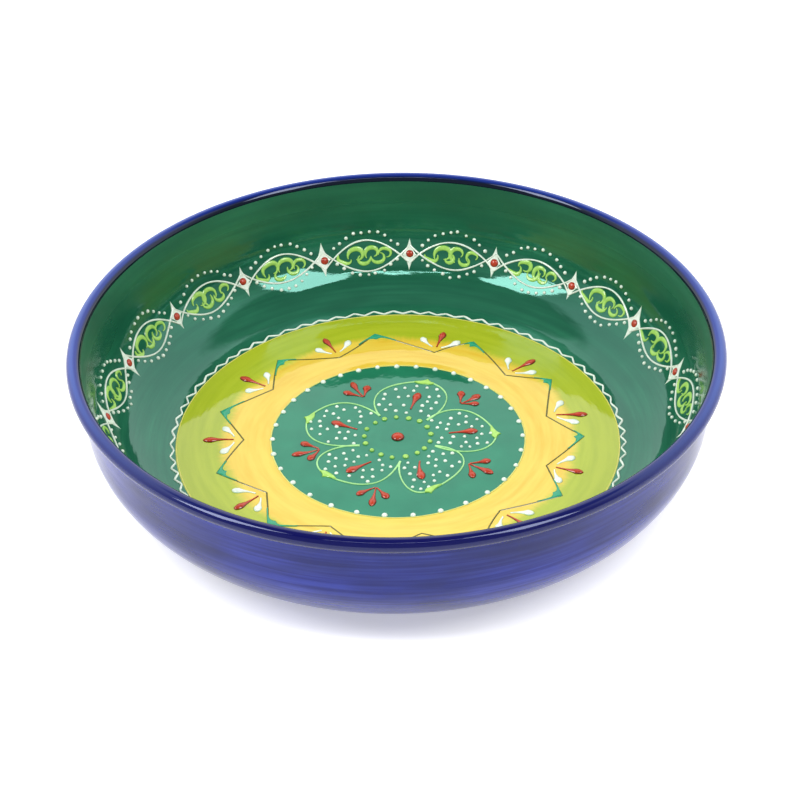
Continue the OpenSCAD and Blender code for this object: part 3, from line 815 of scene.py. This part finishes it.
left, right = tip_blobs()
grid, rise = trail(left, right, 0.75)
piece("lime_petal_tips", grid, lime_slip, "petal_tip_blobs", rise)

# %% Dots in the petals
from_edge, from_drop, from_axis = 1.9, 2.9, 19.5


def dots_in(edge, keep_off, spacing, wanted):
    """Spots thrown at random inside an outline and kept if they are far enough from
    its edge, from the drop and from each other."""
    middle = edge.mean(axis=0)
    turn = np.arctan2(*(edge - middle).T[::-1])
    order = np.argsort(turn)
    size = np.linalg.norm(edge - middle, axis=1)
    kept = []
    for _ in range(900):
        spot = middle + hand.uniform(-19, 19, 2)
        offset = spot - middle
        limit = np.interp(np.arctan2(offset[1], offset[0]), turn[order], size[order],
                          period=2 * np.pi)
        clear = np.linalg.norm(offset) < limit - from_edge
        clear &= np.linalg.norm(keep_off - spot, axis=1).min() > from_drop
        clear &= from_axis < np.linalg.norm(spot)
        clear &= all(np.linalg.norm(spot - other) > spacing for other in kept)
        if clear:
            kept.append(spot)
        if len(kept) == wanted:
            break
    return kept


drop_start = polar(np.array([22.5, 23.6, 21.0, 22.0, 19.6]), np.array([74, 6, -61, 237, 161]))
drop_turn = np.array([71, 4, -80, 213, 151])
spots = []
for number in range(5):
    edge = np.concatenate(outlines[2 * number:2 * number + 2])
    shaft = drop_start[number] + np.linspace(0, 13.5, 8)[:, None] * polar(1.0, drop_turn[number])
    spots += dots_in(edge, shaft, 3.9, 26)
spots = np.array(spots)
grid, rise = beads(np.hypot(*spots.T), np.arctan2(spots[:, 1], spots[:, 0]),
                   1.85 + unsteady(len(spots), 0.15), 0.8)
piece("white_petal_dots", grid, white_slip, "petal_beads", rise)

grid, rise = drops(drop_start, drop_turn, 13.8, 4.4, unsteady(5, 10))
piece("red_petal_drops", grid, red_slip, "petal_red_drops", rise)

# %% Sprigs, centre and edge beads
sprig_turns = np.array([116, 41, -33, 255, 193])
sprig_radii = np.array([36.4, 40.0, 39.0, 39.5, 37.5])
spread = np.array([-42, 0, 42])
headings = (sprig_turns[:, None] + spread + unsteady((5, 3), 4)).ravel()
starts = np.repeat(polar(sprig_radii, sprig_turns), 3, axis=0)
lengths = np.tile([9.6, 12.6, 9.6], 5) + unsteady(15, 0.8)
grid, rise = drops(starts, headings, lengths, 3.9 + unsteady(15, 0.3), unsteady(15, 12))
piece("red_sprig_drops", grid, red_slip, "sprig_red_drops", rise)

grid, rise = beads([0.01], [0.0], 6.2, 1.7, around=32, bands=16)
piece("red_centre_bead", grid, red_slip, "centre_bead", rise)

turn = np.linspace(0, 2 * np.pi, 17, endpoint=False) + 0.12
grid, rise = beads(15.8 + unsteady(17, 0.25), turn + unsteady(17, 0.02),
                   2.8 + unsteady(17, 0.2), 1.1)
piece("lime_ring_beads", grid, lime_slip, "centre_ring_beads", rise)

step = np.linspace(0, 2 * np.pi, 33, endpoint=False)
grid, rise = beads(58.8 + unsteady(33, 0.15), np.pi / 2 + step - 0.15 * np.sin(step),
                   2.7 + unsteady(33, 0.12), 1.15)
piece("white_medallion_beads", grid, white_slip, "medallion_edge_beads", rise)

# %% [markdown]
# ## The garland on the wall
# Two wavy trails run right round the wall and cross between motifs, so they frame an
# almond, then a small diamond. A red bead sits in each diamond, its corners are drawn
# out into spikes, each almond holds a lime scroll, and dots follow the almonds above
# and below. It is drawn flat, along and up the wall, and laid on the surface.

# %% Lay a flat drawing on the wall
chain_s = 140.8
chain_radius = meridian(np.array(chain_s))[1]
motifs = 19
motif = 2 * np.pi * chain_radius / motifs
diamond = 5.0
almond = motif / 2 - diamond
first_turn = radians(86.8)


def on_wall(spot, lift):
    """Along the wall to the right and up it, seen from the axis, wrapped round at the
    garland's own radius."""
    return on_inside(chain_s + spot[..., 1], first_turn - spot[..., 0] / chain_radius, lift)


# %% Crossing trails
along = np.linspace(0, motifs * motif, motifs * 52, endpoint=False)
near = (along + motif / 2) % motif - motif / 2
in_diamond = np.abs(near) < diamond
crest = 7.4 + unsteady(motifs, 0.35)[(along // motif).astype(int)]
across_almond = np.cos(np.pi / 2 * (motif / 2 - np.abs(near)) / almond)
across_diamond = np.clip(1 - np.abs(near) / diamond, 0, 1)
swing = np.where(in_diamond, -4.6 * across_diamond ** 1.1, crest * np.abs(across_almond) ** 0.92)
sway = 0.25 * np.sin(9 * along / chain_radius) + 0.2 * np.sin(23 * along / chain_radius)
paths = np.stack([np.stack([along, side * swing + sway], -1) for side in (1, -1)])
left, right = rails(paths, 0.98 + 0.1 * np.sin(along / 3.7))
grid, rise = trail(left, right, 0.62, place=on_wall, loop=True)
piece("white_garland_trails", grid, white_slip, "garland_frames", rise)

# %% Diamond fields and their spikes
middles = np.arange(motifs) * motif


def diamond_fields():
    """White slip fills each crossing: a four-pointed shape with hollow sides and long
    upper and lower points."""
    u = np.linspace(-1, 1, 33)
    spike = 7.6 * (1 - np.abs(u)) ** 2.1 + 1.5 * (1 - np.abs(u))
    upper = np.stack([u * 4.2, spike], -1)
    lower = np.stack([u * 4.0, -spike * 0.92], -1)
    shift = np.stack([middles + unsteady(motifs, 0.3), unsteady(motifs, 0.25)], -1)
    grow = 1 + unsteady(motifs, 0.07)
    return (upper * grow[:, None, None] + shift[:, None],
            lower * grow[:, None, None] + shift[:, None])


left, right = diamond_fields()
grid, rise = trail(left, right, 0.5, place=on_wall, around=12)
piece("white_garland_diamonds", grid, white_slip, "garland_diamonds", rise)

# %% Scrolls
def scrolls():
    """Linked curls in each almond: a curl is a spiral that tightens as it goes round,
    its trail thick along the leaf and thin at the hook. Heights are divided by
    (1 + (height / edge)^4)^(1/4), so that none passes the almond's own edge."""
    t = np.linspace(0, 1, 30)
    curls = ((-10.6, -0.4, 4.4, 165, 200, 2.2), (-5.6, 0.6, 4.6, 205, -300, 2.6),
             (-2.2, -1.6, 3.6, 20, -230, 2.0), (2.6, 0.8, 4.4, 230, -290, 2.3),
             (6.4, -1.4, 3.4, 160, 260, 1.8), (10.2, 0.4, 3.4, 200, -270, 1.7))
    lefts, rights = [], []
    for middle in middles + motif / 2:
        for out_u, out_v, size, start, sweep, heavy in curls:
            shift = unsteady(2, 0.45)
            angle = np.radians(start + unsteady(1, 18) + sweep * t)
            radius = 1.15 * size * (1 - 0.55 * t) * (1 + unsteady(1, 0.1))
            u = out_u + shift[0] + 0.95 * radius * np.cos(angle)
            v = out_v + shift[1] + 0.92 * radius * np.sin(angle)
            edge = np.maximum(6.4 * np.cos(np.pi / 2 * np.clip(u / almond, -1, 1)), 0.6)
            path = np.stack([middle + u, v / (1 + (v / edge) ** 4) ** 0.25], -1)
            width = 0.6 + 0.85 * heavy * np.sin(np.pi * t ** 0.7) ** 1.4
            a, b = rails(path, width)
            lefts.append(a)
            rights.append(b)
    return np.array(lefts), np.array(rights)


left, right = scrolls()
grid, rise = trail(left, right, 0.5, place=on_wall, around=6)
piece("lime_garland_scrolls", grid, lime_slip, "garland_scrolls", rise)

# %% Beads of the garland
spot = np.stack([middles + unsteady(motifs, 0.3), unsteady(motifs, 0.25)], -1)


def wall_beads(spot, width, height, **shape):
    """Beads placed on the wall's flat drawing."""
    return beads(chain_s + spot[..., 1].ravel(), first_turn - spot[..., 0].ravel() / chain_radius,
                 width, height, **shape)


grid, rise = wall_beads(spot, 4.4 + unsteady(motifs, 0.15), 1.35, around=20, bands=10)
piece("red_garland_beads", grid, red_slip, "garland_red_beads", rise)


def bead_arch(number, reach, crest):
    """Beads spaced evenly along an arch over each almond: the arch falls from its
    crest by the square of the way out, and each bead is a little off its mark."""
    t = np.linspace(-1, 1, number)
    u = reach * (1.12 * t - 0.12 * t ** 3)
    v = crest - 7.6 * (u / reach) ** 2
    spots = np.stack([u + (middles + motif / 2)[:, None], np.broadcast_to(v, (motifs, number))], -1)
    return spots + unsteady(spots.shape, 0.3)


upper = bead_arch(10, 16.2, 12.7)
grid, rise = wall_beads(upper, 1.85 + unsteady(upper[..., 0].size, 0.15), 0.95)
piece("white_upper_beads", grid, white_slip, "garland_upper_beads", rise)
lower = bead_arch(9, 15.8, 10.4) * np.array([1, -1])
grid, rise = wall_beads(lower, 1.85 + unsteady(lower[..., 0].size, 0.15), 0.95)
piece("white_lower_beads", grid, white_slip, "garland_lower_beads", rise)

# %% [markdown]
# ## Studio
# Gloss shows only what stands round it, so the room matters as much as the glaze. The
# table is pale acrylic lit evenly from below, which keeps shadows faint. Two softboxes
# stand to left and right on the camera's side with a thin strip between them, and the
# far side of the room is bright. The camera is where a person leaning over would be.

# %% Lit table and room
scene = bpy.context.scene
scene.view_settings.view_transform = "Standard"
table_glow = 0.4
paper, tree, shader = finish_base("lit_acrylic_table", 0.7, 1.45)
shader.inputs["Base Color"].default_value = linear("#f8f8f8")
shader.inputs["Emission Color"].default_value = linear("#ffffff")
shader.inputs["Emission Strength"].default_value = table_glow
bpy.ops.mesh.primitive_plane_add(size=8, location=(0, 0, 0))
floor = bpy.context.object
floor.name = "studio_floor"
floor.data.materials.append(paper)


def soft_room():
    """White walls on the far side, lit evenly up to about 53 degrees above the table,
    with a dim ceiling over them and a dim near side, where the camera and its operator
    stand: the strength falls with the height and with the nearness of a direction."""
    world = bpy.data.worlds.new("studio_light")
    world.use_nodes = True
    tree = world.node_tree
    way = add(tree, "ShaderNodeTexCoord").outputs["Generated"]
    parts = add(tree, "ShaderNodeSeparateXYZ", [(0, way)]).outputs
    wall = add(tree, "ShaderNodeMapRange", [("Value", parts["Z"]), ("From Min", 0.77),
                                            ("From Max", 0.83), ("To Min", 1.5),
                                            ("To Max", 0.2)],
               interpolation_type="SMOOTHSTEP")
    side = add(tree, "ShaderNodeMapRange", [("Value", parts["Y"]), ("From Min", -0.45),
                                            ("From Max", 0.1), ("To Min", 0.25),
                                            ("To Max", 1.0)],
               interpolation_type="SMOOTHSTEP")
    level = add(tree, "ShaderNodeMath", [(0, wall.outputs[0]), (1, side.outputs[0])],
                operation="MULTIPLY")
    tree.nodes["Background"].inputs["Color"].default_value = (1.0, 1.0, 1.0, 1)
    tree.links.new(level.outputs[0], tree.nodes["Background"].inputs["Strength"])
    return world


scene.world = soft_room()


def softbox(name, turn, rise, distance, size, radiance):
    """A rectangular lamp aimed at the middle of the plate, from a compass turn and a
    rise above the table; its watts are radiance times pi times its area."""
    lamp = bpy.data.lights.new(name, "AREA")
    lamp.shape = "RECTANGLE"
    lamp.size, lamp.size_y = size
    lamp.energy = radiance * np.pi * size[0] * size[1]
    holder = bpy.data.objects.new(name, lamp)
    flat, tall = np.cos(radians(rise)), np.sin(radians(rise))
    aim = Vector((flat * np.cos(radians(turn)), flat * np.sin(radians(turn)), tall))
    holder.location = Vector((0, 0, 0.04)) + aim * distance
    holder.rotation_euler = aim.to_track_quat("Z", "Y").to_euler()
    scene.collection.objects.link(holder)
    return holder


box_size = (0.46, 0.80)
softbox("softbox_right", -38, 53, 1.5, box_size, 9.5)
softbox("softbox_left", -158, 47.5, 1.5, box_size, 11.0)
softbox("strip_light", -90, 64.5, 1.6, (0.9, 0.045), 14)

# %% Camera
pitch, roll_angle = radians(35.72), radians(0.88)
rim_plane, away, below, aside = 65.9, 1038.6, 28.3, 1.34
camera = bpy.data.cameras.new("camera")
camera.lens, camera.sensor_width = 102.46, 36
viewer = bpy.data.objects.new("camera", camera)
toward = np.array([0, np.cos(pitch), -np.sin(pitch)])
upward = np.array([0, np.sin(pitch), np.cos(pitch)])
sideways = np.array([1.0, 0, 0])
right_hand = np.cos(roll_angle) * sideways - np.sin(roll_angle) * upward
up_hand = np.sin(roll_angle) * sideways + np.cos(roll_angle) * upward
spot = MM * np.array([aside, -away * np.cos(pitch) - below * np.sin(pitch),
                      away * np.sin(pitch) - below * np.cos(pitch) + rim_plane])
stand = np.eye(4)
stand[:3] = np.stack([right_hand, up_hand, -toward, spot], axis=1)
viewer.matrix_world = Matrix(stand.tolist())
camera.clip_start, camera.clip_end = 0.05, 20
scene.collection.objects.link(viewer)
scene.camera = viewer
